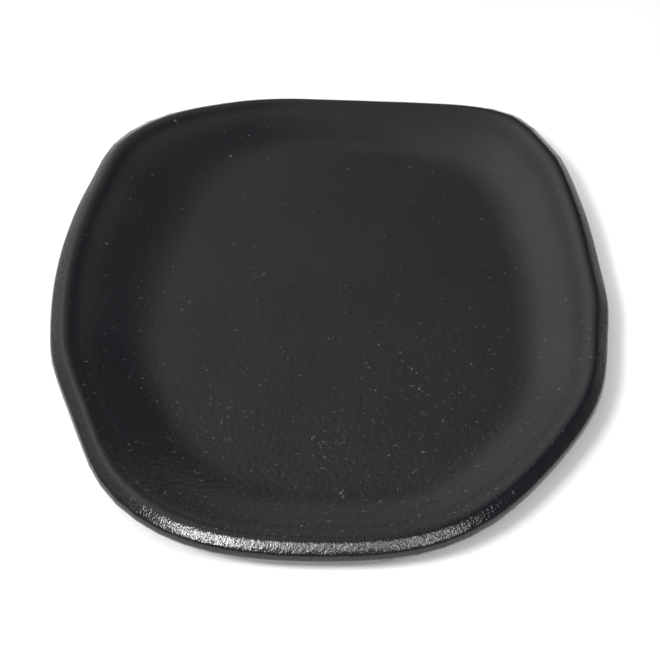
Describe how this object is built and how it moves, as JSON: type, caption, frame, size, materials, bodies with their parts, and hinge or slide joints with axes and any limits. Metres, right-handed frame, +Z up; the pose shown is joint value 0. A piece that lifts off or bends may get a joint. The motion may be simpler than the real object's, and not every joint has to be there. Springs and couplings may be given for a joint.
{
  "type": "rectangular platter",
  "caption": "Shallow rectangular serving platter in thick stoneware, with a soft uneven outline, a rounded lip, matte black glaze and a bare foot ring.",
  "frame": {"origin": "on the table, under the middle of the platter's bounding box", "axes": "+Z up out of the well, +Y along the long side to the far edge of the picture's view, +X to the right in that view"},
  "size_m": [0.258, 0.3008, 0.0224],
  "materials": {
    "bare_stoneware": "matte",
    "matte_black_glaze": "satin"
  },
  "bodies": {
    "root": {"stoneware_body": "bare_stoneware", "glaze_coat": "matte_black_glaze", "base_glaze": "matte_black_glaze"}
  },
  "joints": []
}
